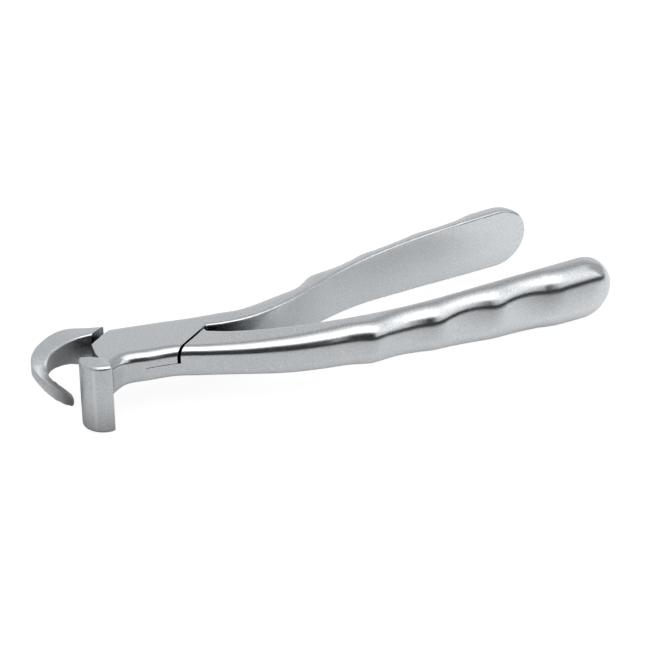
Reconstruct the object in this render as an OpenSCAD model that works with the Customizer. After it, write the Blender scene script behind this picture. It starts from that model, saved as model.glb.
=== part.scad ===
// Extraction forceps with a hooked beak on one lever and a half-moon bumper on the other.
// Two crossing levers share a half-lap joint and turn on one flush-ground rivet pin.
// Origin: pivot axis, level with the flat top of the joint.  +Z up, +X to the handles, +Y to the
// rear handle.  Shapes are drawn from the lap plane up, and each node is then set down by joint_top.

/* [Joint] */
// Height of the joint above the lap
joint_top = 4.6; // [4.2:0.1:5]
// Depth of the joint below the lap
joint_bottom = 5; // [4.6:0.1:5.4]
// Radius of the long edges of the joint
joint_edge = 2.7; // [1.5:0.1:3]
// Play between the two lap faces
lap_gap = 0.1; // [0.06:0.02:0.2]
// Space left at the narrow shoulders of the lap
narrow_gap = 0.8; // [0.7:0.1:1.2]
// Space left at the wide shoulders of the lap
wide_gap = 2.5; // [2.1:0.1:2.9]
// Radius of the round shoulder between the neck and the lower lug
lap_r = 10; // [9.6:0.1:10.4]
// Play around the round shoulder
round_gap = 0.12; // [0.08:0.02:0.2]

/* [Pivot pin] */
// Diameter of the pin shank
pin_d = 5; // [4:0.1:6]
// Diameter of the countersunk head under the joint
head_d = 8; // [7.2:0.1:9]
// Height of the countersunk head
head_h = 1.5; // [1:0.1:1.8]
// Diameter of the riveted upper end
rivet_d = 6.2; // [6.1:0.1:7]
// Height of the riveted upper end
rivet_h = 0.6; // [0.4:0.1:1]
// Running clearance around the shank and the head
run_gap = 0.04; // [0.02:0.01:0.08]

/* [Handles] */
// Distance from the pivot to the end of the front handle
handle_x = 134; // [130:0.5:142]
// How much shorter the rear handle is
rear_short = 2; // [0:0.1:3]
// Height of a handle above the lap at its end
grip_top = 9.4; // [8:0.1:10.5]
// Depth of the finger grooves
groove_d = 1.3; // [0.4:0.1:1.5]
// Distance between two finger ridges
ridge_pitch = 19.2; // [18:0.1:20]
// Distance from the pivot to the first finger ridge
ridge_x = 54.5; // [53:0.5:56]
// Length of the rounded handle ends
end_len = 11; // [8:0.5:14]
// Radius of the outer shoulders at the end of a handle
shoulder_r = 5.6; // [4.5:0.1:6]
// Radius of the inner edges of a handle
inner_r = 0.6; // [0.3:0.1:1]

/* [Beak] */
// Size of the rounding along the edges of the beak
beak_edge = 0.7; // [0.4:0.1:0.9]
// Width of the beak at its tip
beak_tip_w = 2.1; // [1.9:0.1:2.8]
// Height of the beak at its tip
beak_tip_h = 3.6; // [3.2:0.1:4.2]
// Length of the rounded end of the beak
beak_tip_len = 1.8; // [1:0.1:2.2]

/* [Bumper] */
// Length of the bumper column below the lap
bumper_drop = 15.8; // [12:0.1:18]
// Width of the bumper from edge to edge
bumper_w = 10.8; // [9.5:0.1:12]
// Bulge of the outer bumper face
bumper_front = 3.3; // [2.6:0.1:4]
// Bulge of the inner bumper face
bumper_back = 2.6; // [1.5:0.1:3]

/* [Hidden] */
$fn = 72;
far = 60;
rear_x = handle_x - rear_short;
neck_x = -18.6;
steel = [0.74, 0.75, 0.76];
steel_2 = [0.68, 0.69, 0.71];
pin_steel = [0.62, 0.63, 0.65];

// Outlines seen from above, [x, y], taken on the finger ridges.
near_side = [[-20, -9.5], [-16, -7.4], [-12, -6.1], [-6.6, -7.4], [1.6, -9.2], [8, -12.4],
    [20, -18.3], [30, -22.5], [40, -25.3], [ridge_x - 7, -26.9], [ridge_x, -29.4],
    [ridge_x + ridge_pitch, -31.4], [ridge_x + 3 * ridge_pitch, -34.4], [handle_x, -34.8]];
far_side = [[-20, 13.9], [-8.6, 11.7], [4.8, 8.7], [11.5, 7], [20, 5.1], [28, 3.2], [40, 4.5],
    [ridge_x - 7, 5.9], [ridge_x, 10.1], [ridge_x + ridge_pitch, 13.6],
    [ridge_x + 3 * ridge_pitch, 16.7], [rear_x, 16.9]];
front_inner = [[13, -3.5], [20, -8.2], [30, -13.3], [45, -18.7], [60, -22.4], [80, -25.2],
    [105, -26.7], [handle_x, -27.5]];
rear_inner = [[14, -0.9], [20, -3], [26, -4.3], [32, -4.2], [40, -2.8], [50, 0.3], [60, 3.6],
    [70, 6], [80, 7.3], [95, 8.5], [rear_x, 9.8]];
// Height above the lap; the underside follows it, and drops along the neck of the bumper lever.
height = [[-20, joint_top], [0, joint_top], [5, joint_top], [10, joint_top], [18, joint_top + 0.2],
    [30, joint_top + 0.9], [50, joint_top + 1.8], [70, joint_top + 2.7], [90, grip_top - 1],
    [112, grip_top - 0.3], [handle_x, grip_top]];
neck_drop = [[-20, 1.8], [-16, 0.8], [-12, 0.25], [-8, 0], [handle_x, 0]];
no_drop = [[-20, 0], [handle_x, 0]];
// Radius of the outer shoulders, growing from the joint to the grip.
shoulder = [[-20, joint_edge], [0, joint_edge], [10, joint_edge], [25, 3.2], [45, 4.2],
    [65, shoulder_r - 0.4], [90, shoulder_r], [handle_x, shoulder_r]];
// Beak from the joint to the tip: inner edge of its top face [x, y] and level, outer edge [x, y] and
// level, height.  Levels count from the flat top of the joint.
beak_line = [[-11, 9.8, 0, -8.5, 12.3, 0, 9.6], [-18, 10.4, 0, -14.2, 14.6, 0, 9.2],
    [-22, 9.8, 0, -19.8, 17, 0, 7.7], [-25.4, 8.5, -0.1, -24.8, 16.2, -0.1, 6.6],
    [-28, 7.3, -0.4, -29.8, 13.3, -0.4, 5.9], [-29.9, 5.6, -0.9, -32.8, 10.5, -0.9, 5.2],
    [-31, 4.3, -1.9, -34.3, 8, -1.8, 4.3], [-31.1, 3.7, -3.3, -34.8, 5.6, -2.6, 3.7],
    [-30.3, 3.6, -5.3, -33.9, 3.2, -4.3, 3.9], [-28.5, 4, -8.2, -31.5, 2, -6.7, 4.7],
    [-26.1, 4.5, -11.2, -28.1, 2.1, -9.7, 5],
    [-24.7, 4.8, -12.9, -25.6, 4.8 - beak_tip_w, -12.8, beak_tip_h]];
// Shoulder lines of the lap seen from above, a point and a direction.
beak_shoulder = [[-17.4, 5.1], 35];
beak_wall = [[-19.3, 7.85 + wide_gap - 2.5], 29];
bar_shoulder = [[14.8, -1], 32.2];
rear_shoulder = [[13.8, -3.5], 124.7];

// --- interpolation and lofting ---
function place(table, x, i = 0) =
    i >= len(table) - 2 || x < table[i + 1][0] ? i : place(table, x, i + 1);
function slope(table, i) =
    let (a = max(i - 1, 0), b = min(i + 1, len(table) - 1))
    (table[b][1] - table[a][1]) / (table[b][0] - table[a][0]);
// Smooth curve through the points of a table.
function curve(table, x) =
    let (i = place(table, x), w = table[i + 1][0] - table[i][0], t = (x - table[i][0]) / w)
    (1 + 2 * t) * pow(1 - t, 2) * table[i][1] + t * pow(1 - t, 2) * w * slope(table, i)
    + t * t * (3 - 2 * t) * table[i + 1][1] - t * t * (1 - t) * w * slope(table, i + 1);
function unit(v) = v / norm(v);

// Solid through a row of closed sections with the same number of points.
module loft(rings) {
    n = len(rings[0]);
    m = len(rings);
    points = [for (r = rings) for (p = r) p];
    sides = [for (k = [0 : m - 2], j = [0 : n - 1])
        let (a = k * n + j, b = k * n + (j + 1) % n)
        each [[a, a + n, b + n], [a, b + n, b]]];
    start = [[for (j = [0 : n - 1]) j]];
    end = [[for (j = [n - 1 : -1 : 0]) (m - 1) * n + j]];
    polyhedron(points, concat(sides, start, end), convexity = 6);
}
// Rectangle with two corner radii, as a list of points.
function rounded_box(left, right, low, high, r_left, r_right, step) = concat(
    [for (a = [180 : step : 270]) [left + r_left + r_left * cos(a), low + r_left + r_left * sin(a)]],
    [for (a = [270 : step : 360]) [right - r_right + r_right * cos(a), low + r_right + r_right * sin(a)]],
    [for (a = [0 : step : 90]) [right - r_right + r_right * cos(a), high - r_right + r_right * sin(a)]],
    [for (a = [90 : step : 180]) [left + r_left + r_left * cos(a), high - r_left + r_left * sin(a)]]);
module slab(low, high, outline) {
    translate([0, 0, low])
        linear_extrude(high - low)
            polygon(outline);
}
function along(line, s, out = 0) =
    line[0] + s * [cos(line[1]), sin(line[1])] + out * [-sin(line[1]), cos(line[1])];

// --- levers from the neck to the handle end ---
// Where the full width of the joint gives way to a handle with its own inner face.
front_open = 13.4;
rear_open = 14.4;
function groove(x) =
    let (u = (x - ridge_x) / ridge_pitch, f = u - floor(u))
    u < 0 || u > 3 ? 0 : groove_d * (1 - pow(2 * f - 1, 2));
// Distance into the rounded handle end, 0 where it starts and 1 at the tip.
function in_end(x, last) = max(0, (x - last + end_len) / end_len);
function round_end(u, p) = pow(max(0, 1 - pow(u, p)), 1 / p);

function lever_ring(x, last, near, far_y, r_near, r_far, drop) =
    let (k = round_end(in_end(x, last), 2.1),
        high = curve(height, x) * k,
        low = -(curve(height, x) + joint_bottom - joint_top) * k - curve(drop, x),
        fit = min(1, 0.96 * (far_y - near) / (r_near + r_far)),
        most = 0.48 * (high - low))
    [for (p = rounded_box(near, far_y, low, high, min(r_near * fit, most), min(r_far * fit, most), 15))
        [x, p[0], p[1]]];
function front_ring(x) =
    let (inner = x < front_open ? curve(far_side, x) : curve(front_inner, x),
        outer = curve(near_side, x) + groove(x),
        slim = round_end(in_end(x, handle_x), 3))
    lever_ring(x, handle_x, inner + (outer - inner) * slim, inner, curve(shoulder, x),
        x < front_open ? joint_edge : inner_r, no_drop);
function rear_ring(x) =
    let (inner = x < rear_open ? curve(near_side, x) : curve(rear_inner, x),
        outer = curve(far_side, x) - groove(x),
        slim = round_end(in_end(x, rear_x), 3))
    lever_ring(x, rear_x, inner, inner + (outer - inner) * slim,
        x < rear_open ? joint_edge : inner_r, curve(shoulder, x), neck_drop);
// Stations along a lever, closer together over the finger ridges and at the end.
function stations(open, last) = concat(
    [for (k = [0 : 12]) neck_x + k * (open - 0.01 - neck_x) / 12],
    [for (k = [0 : 10]) open + k * (ridge_x - 9 - open) / 10],
    [for (x = [ridge_x - 7.2 : 2.4 : last - end_len]) x],
    [for (u = [0.06, 0.25, 0.45, 0.6, 0.74, 0.85, 0.93, 0.98, 0.998]) last - end_len * (1 - u)]);

// --- bumper lever ---
// Large circle through both ends of a chord, bulging to one side.
module bulge(chord, rise, side) {
    r = (chord * chord / 4 + rise * rise) / (2 * rise);
    translate([0, side * (rise - r)])
        circle(r);
}
module bumper() {
    translate([-20.6, -4.55, -bumper_drop])
        rotate(-57.4)
            linear_extrude(bumper_drop + joint_top + 0.3)
                intersection() {
                    bulge(bumper_w, bumper_front, -1);
                    bulge(bumper_w, bumper_back, 1);
                }
}
module bumper_lever() {
    color(steel)
    translate([0, 0, -joint_top]) {
        difference() {
            loft([for (x = stations(rear_open, rear_x)) rear_ring(x)]);
            // room for the lower lug
            slab(-far, lap_gap / 2, [beak_shoulder[0], [-17.4, 30], along(rear_shoulder, 30, -wide_gap),
                along(rear_shoulder, -16, -wide_gap), [0, -16], [0, 0]]);
            translate([0, 0, lap_gap / 2 - far])
                cylinder(r = lap_r + round_gap, h = far);
            // beak shoulder
            slab(-far, far, [along(beak_shoulder, 40), along(beak_shoulder, 0), [neck_x, 0],
                [neck_x - 1, 0], [neck_x - 1, 40]]);
            // bar shoulder
            slab(-far, far, [along(bar_shoulder, -26), along(bar_shoulder, 0), [14.8, -30]]);
            pin_seat();
        }
        bumper();
    }
}

// --- beak lever ---
// Value k of the beak's section at s, where s counts the rows of beak_line.
function beak_value(s, k) = curve([for (i = [0 : len(beak_line) - 1]) [i, beak_line[i][k]]], s);
// Rounded corner at b between its neighbours a and c.
function soft_corner(a, b, c, r) =
    let (p = b + r * unit(a - b), q = b + r * unit(c - b))
    [for (t = [0 : 0.25 : 1]) (1 - t) * (1 - t) * p + 2 * t * (1 - t) * b + t * t * q];
function beak_ring(s) =
    let (v = [for (k = [0 : 6]) beak_value(s, k)],
        low = v[5] - v[6],
        c = [[v[0], v[1], v[2]], [v[3], v[4], v[5]], [v[3], v[4], low], [v[0], v[1], low]])
    [for (i = [0 : 3], p = soft_corner(c[(i + 3) % 4], c[i], c[(i + 1) % 4], beak_edge))
        p + [0, 0, joint_top]];
function sum(v, i = 0) = i == len(v) - 1 ? v[i] : v[i] + sum(v, i + 1);
// Rounded tip: the last section shrinks towards its middle.
function tip_ring(u) =
    let (n = len(beak_line) - 1, last = beak_ring(n), middle = sum(last) / len(last),
        ahead = unit(middle - sum(beak_ring(n - 0.2)) / len(last)))
    [for (p = last) middle + sqrt(1 - u * u) * (p - middle) + ahead * beak_tip_len * u];
module beak() {
    loft(concat([for (k = [0 : 4 * (len(beak_line) - 1)]) beak_ring(k / 4)],
        [for (u = [0.4, 0.7, 0.9, 0.98]) tip_ring(u)]));
}
module beak_lever() {
    color(steel_2)
    translate([0, 0, -joint_top])
        difference() {
            union() {
                difference() {
                    loft([for (x = stations(front_open, handle_x)) front_ring(x)]);
                    neck_room();
                }
                beak();
            }
            // room for the upper lug
            slab(-lap_gap / 2, far, [along(beak_wall, -3), along(beak_wall, 40),
                along(bar_shoulder, 40, -narrow_gap), along(bar_shoulder, -26, -narrow_gap), [-20, -8]]);
            // rear handle shoulder
            slab(-far, far, [along(rear_shoulder, 30), along(rear_shoulder, 0), [front_open + 0.4, 30]]);
            pin_clearance();
        }
}
// Room in front of the beak's root for the neck of the other lever, round at the lower lug.
module neck_room() {
    difference() {
        slab(-far, far, [[-3, -16], [-3, 1.8], [-10.6, 6.1], [-13, 10.3], [-17.5, 10.8],
            [neck_x - 1, 11], [neck_x - 1, -16]]);
        translate([0, 0, -far])
            cylinder(r = lap_r, h = 2 * far);
    }
}

// --- pivot pin ---
module pin_seat() {
    translate([0, 0, -far])
        cylinder(d = pin_d, h = 2 * far);
    translate([0, 0, joint_top - rivet_h])
        cylinder(d1 = pin_d, d2 = rivet_d, h = rivet_h);
}
module pin_clearance() {
    translate([0, 0, -far])
        cylinder(d = pin_d + 2 * run_gap, h = 2 * far);
    translate([0, 0, -joint_bottom])
        cylinder(d1 = head_d + 2 * run_gap, d2 = pin_d + 2 * run_gap, h = head_h + run_gap);
}
module pivot_pin() {
    color(pin_steel)
    translate([0, 0, -joint_top])
        rotate_extrude()
            polygon([[0, -joint_bottom], [head_d / 2, -joint_bottom],
                [pin_d / 2, head_h - joint_bottom], [pin_d / 2, joint_top - rivet_h],
                [rivet_d / 2, joint_top], [0, joint_top]]);
}

bumper_lever();
beak_lever();
pivot_pin();
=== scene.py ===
import math

import bmesh
import bpy
from mathutils import Matrix, Vector


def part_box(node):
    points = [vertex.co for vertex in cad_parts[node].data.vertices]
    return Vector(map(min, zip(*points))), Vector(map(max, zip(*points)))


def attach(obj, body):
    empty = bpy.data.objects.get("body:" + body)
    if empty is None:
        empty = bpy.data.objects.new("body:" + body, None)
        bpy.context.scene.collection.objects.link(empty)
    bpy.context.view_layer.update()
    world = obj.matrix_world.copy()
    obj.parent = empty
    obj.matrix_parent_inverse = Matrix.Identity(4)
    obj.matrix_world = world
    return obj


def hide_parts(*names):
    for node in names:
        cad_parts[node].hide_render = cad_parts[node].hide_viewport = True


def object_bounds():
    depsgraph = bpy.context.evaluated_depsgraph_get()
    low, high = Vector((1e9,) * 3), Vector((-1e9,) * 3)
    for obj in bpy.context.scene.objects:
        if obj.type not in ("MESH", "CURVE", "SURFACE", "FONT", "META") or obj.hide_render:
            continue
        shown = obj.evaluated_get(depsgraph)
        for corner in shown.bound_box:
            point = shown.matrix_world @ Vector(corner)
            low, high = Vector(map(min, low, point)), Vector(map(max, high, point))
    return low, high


# Extraction forceps: two satin steel levers on a half-lap joint with one flush rivet pin.
# Shapes are worked out in millimetres from the pivot axis and the flat top of the joint (z = 0),
# then scaled to metres.  The positions of the joint, the pin and the ends come from the frame.

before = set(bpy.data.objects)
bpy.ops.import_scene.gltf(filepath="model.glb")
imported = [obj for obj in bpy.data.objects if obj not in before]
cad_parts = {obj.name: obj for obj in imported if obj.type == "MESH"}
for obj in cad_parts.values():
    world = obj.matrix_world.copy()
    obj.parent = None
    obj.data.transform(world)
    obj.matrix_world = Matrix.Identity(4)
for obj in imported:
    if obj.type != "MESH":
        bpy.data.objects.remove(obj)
cad_low, cad_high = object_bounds()

MM = 0.001
FAR = 60.0                      # longer than anything that has to be cut through


def corners_mm(node):
    low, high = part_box(node)
    return low / MM, high / MM


def lap_height():
    """Height of the face on which the upper half of the joint slides, read from the lower half."""
    near_pin = [v.co.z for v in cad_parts["beak_lever"].data.vertices
                if math.hypot(v.co.x, v.co.y) < 6 * MM]
    return max(near_pin) / MM


pin_low, pin_high = corners_mm("pivot_pin")
bumper_low, bumper_high = corners_mm("bumper_lever")
beak_low, beak_high = corners_mm("beak_lever")
LAP = lap_height()
UNDER = pin_low.z               # flat underside of the joint
FRONT_X = beak_high.x           # end of the front handle
REAR_X = bumper_high.x          # end of the rear handle
GRIP_TOP = beak_high.z + 0.13   # height of a handle's top where its rounded end begins
FOOT = bumper_low.z             # lower end of the bumper
HEAD_R = (pin_high.x - pin_low.x) / 2      # radius of the pin's head
HEAD_PLAY = 0.1                 # play around the head
HEAD_ROOM = 1.5                 # height of the room for the head
SHANK_R = 2.5                   # radius of the pin's shank

JOINT_EDGE = 2.7                # radius of the long edges of the joint
INNER_R = 0.6                   # radius of the inner edges of a handle
GROOVE = 1.5                    # depth of the finger grooves
RIDGE_X = 54.5                  # first finger ridge
PITCH = 19.2                    # distance between two ridges
END = 11.0                      # length of the rounded handle ends
NECK_X = -18.6                  # where the neck runs into the bumper
FRONT_OPEN = 13.4               # where the front handle gets its own inner face
REAR_OPEN = 14.4                # where the rear handle gets its own inner face
NARROW_GAP = 0.8                # slit between the upper lug and the front handle
WIDE_GAP = 2.5                  # slit between the lower lug and the rear handle
LAP_R = 10.0                    # round shoulder between the neck and the lower lug
ROUND_GAP = 0.03                # play around that shoulder
LAP_GAP = 0.1                   # play between the two lap faces
SEAM = 0.05                     # how far each lap face is set back so that the seam shows dark
MID = LAP + LAP_GAP / 2         # lap plane
BUMPER_W = 10.8                 # width of the bumper from edge to edge
BUMPER_AT = (-20.6, -4.55)      # its middle
BUMPER_TURN = -57.4             # direction of that width
BUMPER_TOP = 0.3                # height of its upper end
BUMPER_BEVEL = 0.6              # bevel round its upper end
BUMPER_FOOT_BEVEL = 0.4         # bevel round its lower end
NECK_CUT = NECK_X - 1           # just beyond the end of the neck

# Outlines seen from above, taken on the finger ridges.
NEAR_SIDE = [(-20, -9.5), (-16, -7.4), (-12, -6.1), (-6.6, -7.4), (1.6, -9.2), (8, -12.4),
             (20, -18.3), (30, -22.5), (40, -25.3), (RIDGE_X - 7, -26.9), (RIDGE_X, -29.4),
             (RIDGE_X + PITCH, -31.4), (RIDGE_X + 3 * PITCH, -34.4), (FRONT_X, -34.8)]
FAR_SIDE = [(-20, 13.9), (-8.6, 11.7), (4.8, 8.7), (11.5, 7), (20, 5.1), (28, 3.2), (40, 4.5),
            (RIDGE_X - 7, 5.9), (RIDGE_X, 10.1), (RIDGE_X + PITCH, 13.6),
            (RIDGE_X + 3 * PITCH, 16.7), (REAR_X, 16.9)]
FRONT_INNER = [(13, -3.5), (20, -8.2), (30, -13.3), (45, -18.7), (60, -22.4), (80, -25.2),
               (105, -26.7), (FRONT_X, -27.5)]
REAR_INNER = [(14, -0.9), (20, -3), (26, -4.3), (32, -4.2), (40, -2.8), (50, 0.3), (60, 3.6),
              (70, 6), (80, 7.3), (95, 8.5), (REAR_X, 9.8)]
# Rise of the handles above the joint, and drop of the neck below it.
RISE = [(-20, 0), (0, 0), (5, 0), (10, 0), (18, 0.2), (30, 0.9), (50, 1.8), (70, 2.7),
        (90, GRIP_TOP - 1), (112, GRIP_TOP - 0.3), (FRONT_X, GRIP_TOP)]
NECK_DROP = [(-20, 1.8), (-16, 0.8), (-12, 0.25), (-8, 0), (FRONT_X, 0)]
NO_DROP = [(-20, 0), (FRONT_X, 0)]
# Radius of the outer shoulders, growing from the joint to the grip.
SHOULDER = [(-20, JOINT_EDGE), (0, JOINT_EDGE), (10, JOINT_EDGE), (25, 3.2), (45, 4.2), (65, 5.2),
            (90, 5.6), (FRONT_X, 5.6)]
# Beak from the joint to the tip: inner edge of its top face (x, y, z), outer edge (x, y, z), height.
BEAK = [(-11, 9.8, 0, -8.5, 12.3, 0, 9.6), (-18, 10.4, 0, -14.2, 14.6, 0, 9.2),
        (-22, 9.8, 0, -19.8, 17, 0, 7.7), (-25.4, 8.5, -0.1, -24.8, 16.2, -0.1, 6.6),
        (-28, 7.3, -0.4, -29.8, 13.3, -0.4, 5.9), (-29.9, 5.6, -0.9, -32.8, 10.5, -0.9, 5.2),
        (-31, 4.3, -1.9, -34.3, 8, -1.8, 4.3), (-31.1, 3.7, -3.3, -34.8, 5.6, -2.6, 3.7),
        (-30.3, 3.6, -5.3, -33.9, 3.2, -4.3, 3.9), (-28.5, 4, -8.2, -31.5, 2, -6.7, 4.7),
        (-26.1, 4.5, -11.2, -28.1, 2.1, -9.7, 5), (-24.7, 4.8, -12.9, -25.6, 2.7, -12.8, 3.6)]
BEAK_EDGE = 0.7                 # rounding along the edges of the beak
BEAK_TIP = 1.8                  # length of its rounded end
# Shoulder lines of the lap seen from above: a point and a direction.
BEAK_SHOULDER = ((-17.4, 5.1), 35)          # end of the upper lug towards the beak
BEAK_WALL = ((-19.3, 7.85), 29)             # wall of the beak opposite that end
BAR_SHOULDER = ((14.8, -1), 32.2)           # end of the upper lug towards the front handle
REAR_SHOULDER = ((13.8, -3.5), 124.7)       # end of the lower lug towards the rear handle

# The camera: the direction it looks from, its distance and how far the pivot is off the middle.
AZIMUTH, ELEVATION = -30.4, 29.0
DISTANCE = 555.6
LENS, SENSOR = 111.6, 36.0
AIM_RIGHT, AIM_UP = 46.0, 7.9

FINE = 0.29          # voxel of the forged skins
SOFTEN = 5             # smoothing passes that round their edges


# --- interpolation ---
def curve(table, x, column=1):
    """Smooth curve through the points of a table."""
    i = 0
    while i < len(table) - 2 and x >= table[i + 1][0]:
        i += 1

    def slope(k):
        a, b = max(k - 1, 0), min(k + 1, len(table) - 1)
        return (table[b][column] - table[a][column]) / (table[b][0] - table[a][0])

    w = table[i + 1][0] - table[i][0]
    t = (x - table[i][0]) / w
    return ((1 + 2 * t) * (1 - t) ** 2 * table[i][column] + t * (1 - t) ** 2 * w * slope(i)
            + t * t * (3 - 2 * t) * table[i + 1][column] - t * t * (1 - t) * w * slope(i + 1))


def along(line, s, out=0.0):
    """Point on a shoulder line, s along it and out to its left."""
    (x, y), angle = line
    c, d = math.cos(math.radians(angle)), math.sin(math.radians(angle))
    return x + s * c - out * d, y + s * d + out * c


# --- mesh building, in millimetres ---
def add_object(name, bm):
    mesh = bpy.data.meshes.new(name)
    bmesh.ops.recalc_face_normals(bm, faces=bm.faces)
    bm.to_mesh(mesh)
    bm.free()
    obj = bpy.data.objects.new(name, mesh)
    bpy.context.scene.collection.objects.link(obj)
    return obj


def loft(name, rings):
    """Solid through a row of closed sections with the same number of points."""
    bm = bmesh.new()
    rows = [[bm.verts.new(p) for p in ring] for ring in rings]
    count = len(rows[0])
    for a, b in zip(rows, rows[1:]):
        for j in range(count):
            k = (j + 1) % count
            bm.faces.new((a[j], b[j], b[k], a[k]))
    bm.faces.new(rows[0])
    bm.faces.new(reversed(rows[-1]))
    return add_object(name, bm)


def prism(name, outline, low, high):
    return loft(name, [[(x, y, z) for x, y in outline] for z in (low, high)])


def disc(radius, steps=128):
    return [(radius * math.cos(2 * math.pi * k / steps), radius * math.sin(2 * math.pi * k / steps))
            for k in range(steps)]


def rounded_box(left, right, low, high, r_left, r_right, step=7.5):
    points = []
    corners = ((left, low, r_left, 180), (right, low, r_right, 270),
               (right, high, r_right, 0), (left, high, r_left, 90))
    for x, y, r, start in corners:
        cx = x + r if x == left else x - r
        cy = y + r if y == low else y - r
        for k in range(int(90 / step) + 1):
            a = math.radians(start + k * step)
            points.append((cx + r * math.cos(a), cy + r * math.sin(a)))
    return points


def drop(obj):
    mesh = obj.data
    bpy.data.objects.remove(obj)
    bpy.data.meshes.remove(mesh)


def applied(obj):
    """Replaces the object's mesh by the result of its modifiers."""
    dg = bpy.context.evaluated_depsgraph_get()
    dg.update()
    mesh = bpy.data.meshes.new_from_object(obj.evaluated_get(dg), depsgraph=dg)
    old = obj.data
    obj.modifiers.clear()
    obj.data = mesh
    bpy.data.meshes.remove(old)
    return obj


def combine(obj, tool, how):
    mod = obj.modifiers.new(how, "BOOLEAN")
    mod.operation = how
    mod.solver = "MANIFOLD"
    mod.object = tool
    applied(obj)
    drop(tool)


def forge(obj, *parts):
    """Joins the parts to obj as one fine closed skin whose edges are slightly rounded."""
    for part in parts:
        combine(obj, part, "UNION")
    mod = obj.modifiers.new("skin", "REMESH")
    mod.mode = "VOXEL"
    mod.voxel_size = FINE
    soft = obj.modifiers.new("soft", "SMOOTH")
    soft.factor = 0.5
    soft.iterations = SOFTEN
    return applied(obj)


def mill(obj, *tools):
    """Cuts the tools out of obj, which leaves crisp ground edges."""
    for tool in tools:
        combine(obj, tool, "DIFFERENCE")
    return obj


def finished(obj):
    """Scaled to metres and shaded smooth, but crisp along the ground edges."""
    obj.data.transform(Matrix.Scale(MM, 4))
    obj.data.shade_smooth()
    obj.data.set_sharp_from_angle(angle=math.radians(32))
    return obj


# --- the levers ---
def scallop(x):
    u = (x - RIDGE_X) / PITCH
    if u < 0 or u > 3:
        return 0.0
    return GROOVE * (1 - (2 * (u - math.floor(u)) - 1) ** 2)


def groove(x):
    """Depth of the finger grooves, with the ridges between them softened."""
    reach = [k / 2 for k in range(-5, 6)]
    return sum(scallop(x + d) for d in reach) / len(reach)


def round_end(x, last, power):
    u = max(0.0, (x - last + END) / END)
    return max(0.0, 1 - u ** power) ** (1 / power)


def lever_ring(x, last, near, far_y, r_near, r_far, drop_table):
    k = round_end(x, last, 2.1)
    high = (curve(RISE, x) - MID) * k + MID
    low = MID - (curve(RISE, x) - UNDER + MID) * k - curve(drop_table, x)
    fit = min(1, 0.96 * (far_y - near) / (r_near + r_far))
    most = 0.48 * (high - low)
    return [(x, y, z) for y, z in
            rounded_box(near, far_y, low, high, min(r_near * fit, most), min(r_far * fit, most))]


def front_ring(x):
    open_part = x >= FRONT_OPEN
    inner = curve(FRONT_INNER if open_part else FAR_SIDE, x)
    outer = curve(NEAR_SIDE, x) + groove(x)
    slim = round_end(x, FRONT_X, 3)
    return lever_ring(x, FRONT_X, inner + (outer - inner) * slim, inner, curve(SHOULDER, x),
                      INNER_R if open_part else JOINT_EDGE, NO_DROP)


def rear_ring(x):
    open_part = x >= REAR_OPEN
    inner = curve(REAR_INNER if open_part else NEAR_SIDE, x)
    outer = curve(FAR_SIDE, x) - groove(x)
    slim = round_end(x, REAR_X, 3)
    return lever_ring(x, REAR_X, inner, inner + (outer - inner) * slim,
                      INNER_R if open_part else JOINT_EDGE, curve(SHOULDER, x), NECK_DROP)


def stations(opening, last):
    """Places along a lever, closer together towards the rounded end."""
    before = [NECK_X + k * (opening - 0.01 - NECK_X) / 50 for k in range(51)]
    straight = int((last - END - opening) / 0.6)
    after = [opening + k * (last - END - opening) / straight for k in range(straight)]
    end = [last - END * (1 - math.sin(math.radians(a)) * 0.999) for a in range(0, 91, 3)]
    return before + after + end


def arc_points(chord, painted_joint_shade, turn, steps=40):
    """Arc over a chord along x, bulging by rise to the side given by turn."""
    r = (chord * chord / 4 + painted_joint_shade * painted_joint_shade) / (2 * painted_joint_shade)
    half = math.asin(chord / 2 / r)
    return [(r * math.sin(a), turn * (r * math.cos(a) - r + painted_joint_shade))
            for a in (half * (2 * k / steps - 1) for k in range(steps + 1))]


def bumper():
    """Half-moon column with its convex face outwards."""
    back_bulge, front_bulge = 2.6, 3.3
    lens = (arc_points(BUMPER_W, back_bulge, 1)
            + list(reversed(arc_points(BUMPER_W, front_bulge, -1)))[1:-1])
    turn = Matrix.Rotation(math.radians(BUMPER_TURN), 2)

    def ring(inset, z):
        wide, deep = 1 - 2 * inset / BUMPER_W, 1 - 2 * inset / (back_bulge + front_bulge)
        turned = [turn @ Vector((x * wide, y * deep)) for x, y in lens]
        return [(BUMPER_AT[0] + q.x, BUMPER_AT[1] + q.y, z) for q in turned]

    return loft("bumper", [ring(BUMPER_FOOT_BEVEL, FOOT), ring(0, FOOT + BUMPER_FOOT_BEVEL),
                           ring(0, BUMPER_TOP - BUMPER_BEVEL), ring(BUMPER_BEVEL, BUMPER_TOP)])


def bumper_lever():
    """Rear handle, upper lug, neck and bumper, forged in one piece."""
    body = loft("bumper_lever_skin", [rear_ring(x) for x in stations(REAR_OPEN, REAR_X)])
    mill(body, prism("beak_side", [along(BEAK_SHOULDER, 40), along(BEAK_SHOULDER, 0), (NECK_X, 0),
                                   (NECK_CUT, 0), (NECK_CUT, 40)], -FAR, FAR))
    forge(body, bumper())
    top = LAP + LAP_GAP + SEAM
    return finished(mill(
        body,
        prism("lug_room", [BEAK_SHOULDER[0], (BEAK_SHOULDER[0][0], 30),
                           along(REAR_SHOULDER, 30, -WIDE_GAP), along(REAR_SHOULDER, -16, -WIDE_GAP),
                           (0, -16), (0, 0)], -FAR, top),
        prism("round_room", disc(LAP_R + ROUND_GAP), -FAR, top),
        prism("bar_side", [along(BAR_SHOULDER, -26), along(BAR_SHOULDER, 0),
                           (BAR_SHOULDER[0][0], -30)], -FAR, FAR)))


def beak_value(s, k):
    return curve([(i, row[k]) for i, row in enumerate(BEAK)], s)


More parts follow.
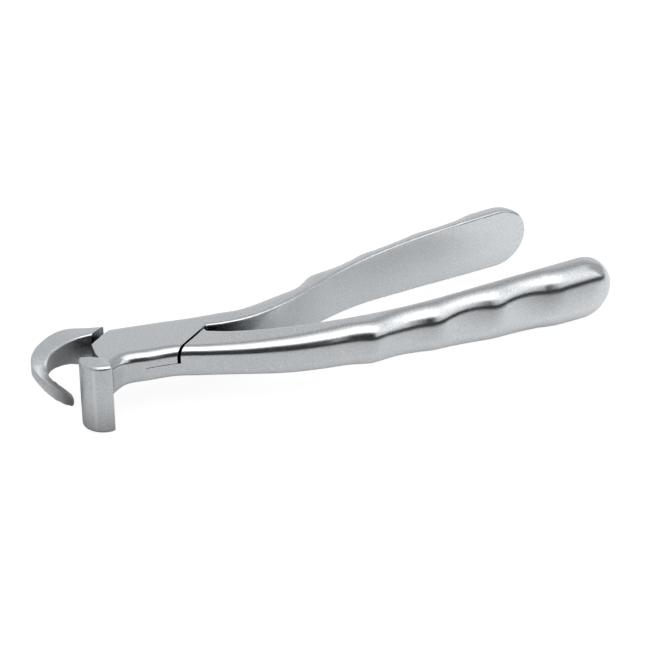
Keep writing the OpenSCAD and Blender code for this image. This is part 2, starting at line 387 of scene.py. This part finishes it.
def soft_corner(a, b, c, r, steps=6):
    """Rounded corner at b between its neighbours a and c."""
    p, q = b + r * (a - b).normalized(), b + r * (c - b).normalized()
    return [(1 - t) ** 2 * p + 2 * t * (1 - t) * b + t * t * q
            for t in (k / steps for k in range(steps + 1))]


def beak_ring(s):
    v = [beak_value(s, k) for k in range(7)]
    low = v[5] - v[6]
    corners = [Vector(v[0:3]), Vector(v[3:6]), Vector((v[3], v[4], low)), Vector((v[0], v[1], low))]
    ring = []
    for i, corner in enumerate(corners):
        ring += soft_corner(corners[i - 1], corner, corners[(i + 1) % 4], BEAK_EDGE)
    return ring


def beak():
    """Lofted hook; the last sections shrink towards their middle and round the tip."""
    last = len(BEAK) - 1
    rings = [beak_ring(k / 16) for k in range(16 * last + 1)]
    end, before = rings[-1], rings[-4]
    middle = sum(end, Vector()) / len(end)
    ahead = (middle - sum(before, Vector()) / len(before)).normalized()
    for angle in range(10, 86, 8):
        a = math.radians(angle)
        rings.append([middle + math.cos(a) * (p - middle) + math.sin(a) * BEAK_TIP * ahead
                      for p in end])
    return loft("beak", rings)


def beak_lever():
    """Front handle, lower lug and beak, forged in one piece."""
    body = loft("beak_lever_skin", [front_ring(x) for x in stations(FRONT_OPEN, FRONT_X)])
    neck_room = prism("neck_room", [(-3, -16), (-3, 1.8), (-10.6, 6.1), (-13, 10.3),
                                    (-17.5, 10.8), (NECK_CUT, 11), (NECK_CUT, -16)], -FAR, FAR)
    mill(neck_room, prism("lug", disc(LAP_R), -2 * FAR, 2 * FAR))
    mill(body, neck_room)
    forge(body, beak())
    return finished(mill(
        body,
        prism("lug_room", [along(BEAK_WALL, -3), along(BEAK_WALL, 40),
                           along(BAR_SHOULDER, 40, -NARROW_GAP),
                           along(BAR_SHOULDER, -26, -NARROW_GAP), (-20, -8)], LAP - SEAM, FAR),
        prism("rear_side", [along(REAR_SHOULDER, 30), along(REAR_SHOULDER, 0),
                            (FRONT_OPEN + 0.4, 30)], -FAR, FAR),
        prism("head_room", disc(HEAD_R + HEAD_PLAY), UNDER - 1, UNDER + HEAD_ROOM)))


def pivot_pin():
    """Lathed rivet: countersunk head below, shank, and an upper end just under the ground face."""
    profile = [(HEAD_R - 0.1, UNDER + 0.02), (HEAD_R, UNDER + 0.12), (HEAD_R, UNDER + 0.3),
               (HEAD_R - 1.4, UNDER + 1.6), (SHANK_R, UNDER + 1.7), (SHANK_R, -0.6)]
    return finished(loft("pivot_pin_skin", [[(x, y, z) for x, y in disc(r, 96)] for r, z in profile]))


# --- node trees ---
class Tree:
    """Short calls for wiring the nodes of a material or of the world."""

    def __init__(self, owner, cleared=True):
        owner.use_nodes = True
        self.nodes, self.links = owner.node_tree.nodes, owner.node_tree.links
        if cleared:
            self.nodes.clear()

    def feed(self, socket, value):
        if isinstance(value, bpy.types.NodeSocket):
            self.links.new(value, socket)
        else:
            socket.default_value = value

    def add(self, kind, inputs, **settings):
        node = self.nodes.new("ShaderNode" + kind)
        for name, value in settings.items():
            setattr(node, name, value)
        for key, value in inputs.items():
            self.feed(node.inputs[key], value)
        return node

    def remap(self, value, low, high, to_low=0.0, to_high=1.0, smooth=False):
        return self.add("MapRange", {"Value": value, "From Min": low, "From Max": high,
                                     "To Min": to_low, "To Max": to_high},
                        interpolation_type="SMOOTHSTEP" if smooth else "LINEAR").outputs["Result"]

    def math(self, operation, a, b):
        return self.add("Math", {0: a, 1: b}, operation=operation).outputs[0]

    def mix(self, factor, a, b):
        return self.add("Mix", {"Factor": factor, "A": a, "B": b}, data_type="RGBA").outputs["Result"]

    def noise(self, scale, stretch, detail, turn):
        place = self.add("TexCoord", {}).outputs["Object"]
        stretched = self.add("Mapping", {"Vector": place, "Scale": [scale * s for s in stretch],
                                         "Rotation": (0, 0, math.radians(turn))})
        return self.add("TexNoise", {"Vector": stretched.outputs["Vector"], "Scale": 1.0,
                                     "Detail": detail}).outputs["Fac"]

    def seen_or_reflected(self, seen, reflected):
        """One shader for camera rays and another for everything else."""
        ray = self.add("LightPath", {}).outputs["Is Camera Ray"]
        return self.add("MixShader", {0: ray, 1: reflected, 2: seen}).outputs[0]


# --- materials ---
def steel_roughness(tree, grain_turn, brush, edge):
    """Blotchy, smoother on worn edges, and matt towards the beak and the bumper."""
    blotch = tree.noise(140, (1, 1, 1), 4, grain_turn)
    rough = tree.math("ADD", tree.remap(brush, 0.3, 0.7, -0.02, 0.02),
                      tree.remap(blotch, 0.3, 0.7, 0.16, 0.22))
    rough = tree.math("SUBTRACT", rough, tree.math("MULTIPLY", edge, 0.06))
    place = tree.add("SeparateXYZ", {0: tree.add("TexCoord", {}).outputs["Object"]})
    return tree.math("ADD", rough, tree.remap(place.outputs["X"], -0.018, -0.027, 0, 0.4))


def steel_color(tree, tint, speck, edge):
    """Speckled metal, brighter on worn edges, with painted shade: darkened by ambient occlusion in the
    recesses, slits and crevices.
    """
    worn = tree.remap(tree.math("ADD", speck, edge), 0.35, 0.7)
    metal = tree.mix(worn, [0.82 * c for c in tint] + [1], list(tint) + [1])
    # painted shade: the ambient-occlusion mask darkens the base colour in recesses, slits and under
    # parts, where shade falls
    painted_shade_ao = tree.add("AmbientOcclusion", {"Distance": 0.012}, samples=6)
    unshaded_part = tree.remap(painted_shade_ao.outputs["AO"], 0.15, 0.95)
    return tree.mix(unshaded_part, [0.12 * c for c in tint] + [1], metal)


def steel_normal(tree, brush, speck):
    """Fine grain over softly broken edges."""
    bevel = tree.add("Bevel", {"Radius": 0.0001}, samples=4)
    height = tree.math("ADD", brush, tree.math("MULTIPLY", speck, 0.6))
    return tree.add("Bump", {"Normal": bevel.outputs["Normal"], "Height": height, "Strength": 0.4,
                             "Distance": 0.00002}).outputs["Normal"]


def satin_steel(name, tint, grain_turn):
    """Satin ground stainless with its grain along the lever."""
    material = bpy.data.materials.new(name)
    tree = Tree(material, cleared=False)
    brush = tree.noise(1500, (0.12, 1, 1), 3, grain_turn)
    speck = tree.noise(2200, (1, 1, 1), 2, grain_turn)
    edge = tree.remap(tree.add("NewGeometry", {}).outputs["Pointiness"], 0.51, 0.6)
    shader = tree.nodes["Principled BSDF"].inputs
    tree.feed(shader["Metallic"], 1.0)
    tree.feed(shader["Roughness"], steel_roughness(tree, grain_turn, brush, edge))
    tree.feed(shader["Base Color"], steel_color(tree, tint, speck, edge))
    tree.feed(shader["Normal"], steel_normal(tree, brush, speck))
    return material


def floor_material():
    """Pale sweep: near white to the camera, and in reflections like paper that fades out in front,
    with painted shade that makes it darker near the joint.
    """
    material = bpy.data.materials.new("sweep")
    tree = Tree(material)
    place = tree.add("SeparateXYZ", {0: tree.add("TexCoord", {}).outputs["Object"]}).outputs
    fade = tree.remap(place["Y"], -0.088, -0.05, 0.05, 0.95, smooth=True)
    # painted shade: in reflections the paper is darker near the joint and brighter towards the handle
    # ends, standing in for the shade under the handles
    painted_joint_shade = tree.remap(place["X"], 0.01, 0.12, 0.86, 1.15)
    paper = tree.add("BsdfDiffuse", {"Color": tree.math("MULTIPLY", fade, painted_joint_shade)})
    glow = tree.add("Emission", {"Color": (1, 1, 1, 1), "Strength": 0.84})
    shadowed = tree.add("BsdfDiffuse", {"Color": (0.3, 0.3, 0.3, 1)})
    seen = tree.add("AddShader", {0: glow.outputs[0], 1: shadowed.outputs[0]})
    both = tree.seen_or_reflected(seen.outputs[0], paper.outputs[0])
    tree.add("OutputMaterial", {"Surface": both})
    return material


# --- stage ---
# Bands of the light tent: (height angle in degrees, brightness).
BRIGHTEST = 2.3                 # top value of the bands
LEFT_BANDS = [(0, 0.15), (20, 0.3), (40, 0.5), (70, 0.6), (130, 0.6), (150, 0.66), (180, 0.7)]
MIDDLE_BANDS = [(0, 0.04), (23, 0.04), (32, 0.25), (42, 1.6), (52, 2.3), (72, 2.1), (88, 1.3),
                (103, 0.8), (116, 0.48), (128, 0.48), (145, 0.66), (158, 0.8), (180, 0.7)]
RIGHT_BANDS = [(0, 0.55), (20, 0.85), (40, 1.2), (65, 1.25), (80, 0.9), (95, 0.5), (180, 0.5)]


def band_ramp(tree, height, bands):
    """Brightness over the height angle, slightly cool."""
    node = tree.add("ValToRGB", {"Fac": height})
    elements = node.color_ramp.elements
    while len(elements) < len(bands):
        elements.new(0.5)
    for element, (degrees, value) in zip(elements, bands):
        element.position = degrees / 180
        shade = value / BRIGHTEST
        element.color = (0.975 * shade, 0.99 * shade, shade, 1)
    return node.outputs["Color"]


def studio():
    """A light tent.  Its bands run across the view: 0 degrees is the horizon behind the camera, 90 is
    overhead, 180 the horizon beyond the object.  The left and right ends of the tent differ."""
    world = bpy.data.worlds.new("tent")
    bpy.context.scene.world = world
    tree = Tree(world)
    sky = tree.add("TexCoord", {}).outputs["Generated"]

    def part(direction):
        return tree.add("VectorMath", {0: sky, 1: direction}, operation="DOT_PRODUCT").outputs["Value"]

    a = math.radians(AZIMUTH)
    angle = tree.math("ARCTAN2", part((0, 0, 1)), part((math.sin(a), -math.cos(a), 0)))
    height = tree.remap(angle, 0, math.pi)
    side = part((math.cos(a), math.sin(a), 0))
    tent = tree.mix(tree.remap(side, -0.4, -0.08, smooth=True),
                    band_ramp(tree, height, LEFT_BANDS), band_ramp(tree, height, MIDDLE_BANDS))
    tent = tree.mix(tree.remap(side, 0.5, 0.75, smooth=True),
                    tent, band_ramp(tree, height, RIGHT_BANDS))
    lit = tree.add("Background", {"Color": tent, "Strength": BRIGHTEST})
    seen = tree.add("Background", {"Color": (0.93, 0.94, 0.95, 1)})
    both = tree.seen_or_reflected(seen.outputs[0], lit.outputs[0])
    tree.add("OutputWorld", {"Surface": both})


def floor():
    size = 3.0
    z = cad_low.z - 0.0002
    bm = bmesh.new()
    bm.faces.new([bm.verts.new((x * size, y * size, z)) for x, y in
                  ((-1, -1), (1, -1), (1, 1), (-1, 1))])
    obj = add_object("floor", bm)
    obj.data.materials.append(floor_material())


def camera():
    a, e = math.radians(AZIMUTH), math.radians(ELEVATION)
    right = Vector((math.cos(a), math.sin(a), 0))
    back = Vector((math.sin(a) * math.cos(e), -math.cos(a) * math.cos(e), math.sin(e)))
    up = back.cross(right)
    pivot = Vector((0, 0, LAP))
    data = bpy.data.cameras.new("camera")
    data.lens, data.sensor_width = LENS, SENSOR
    data.clip_start, data.clip_end = 0.01, 20
    obj = bpy.data.objects.new("camera", data)
    bpy.context.scene.collection.objects.link(obj)
    turn = Matrix((right, up, back)).transposed()
    place = (pivot + AIM_RIGHT * right + AIM_UP * up + DISTANCE * back) * MM
    obj.matrix_world = Matrix.Translation(place) @ turn.to_4x4()
    bpy.context.scene.camera = obj


# --- assembly ---
STEEL_TINT = (0.74, 0.755, 0.77)
PIN_TINT = (0.70, 0.715, 0.73)
steel = satin_steel("satin_steel", STEEL_TINT, 0)
pin_metal = satin_steel("pin_steel", PIN_TINT, 90)

for build, node, body, slot, material in (
        (bumper_lever, "bumper_lever", "bumper_side", "satin_steel", steel),
        (beak_lever, "beak_lever", "beak_side", "satin_steel", steel),
        (pivot_pin, "pivot_pin", "bumper_side", "pin_steel", pin_metal)):
    piece = build()
    piece.data.materials.clear()
    piece.data.materials.append(material)
    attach(piece, body)
    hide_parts(node)

floor()
studio()
camera()
bpy.context.scene.view_settings.view_transform = "Standard"
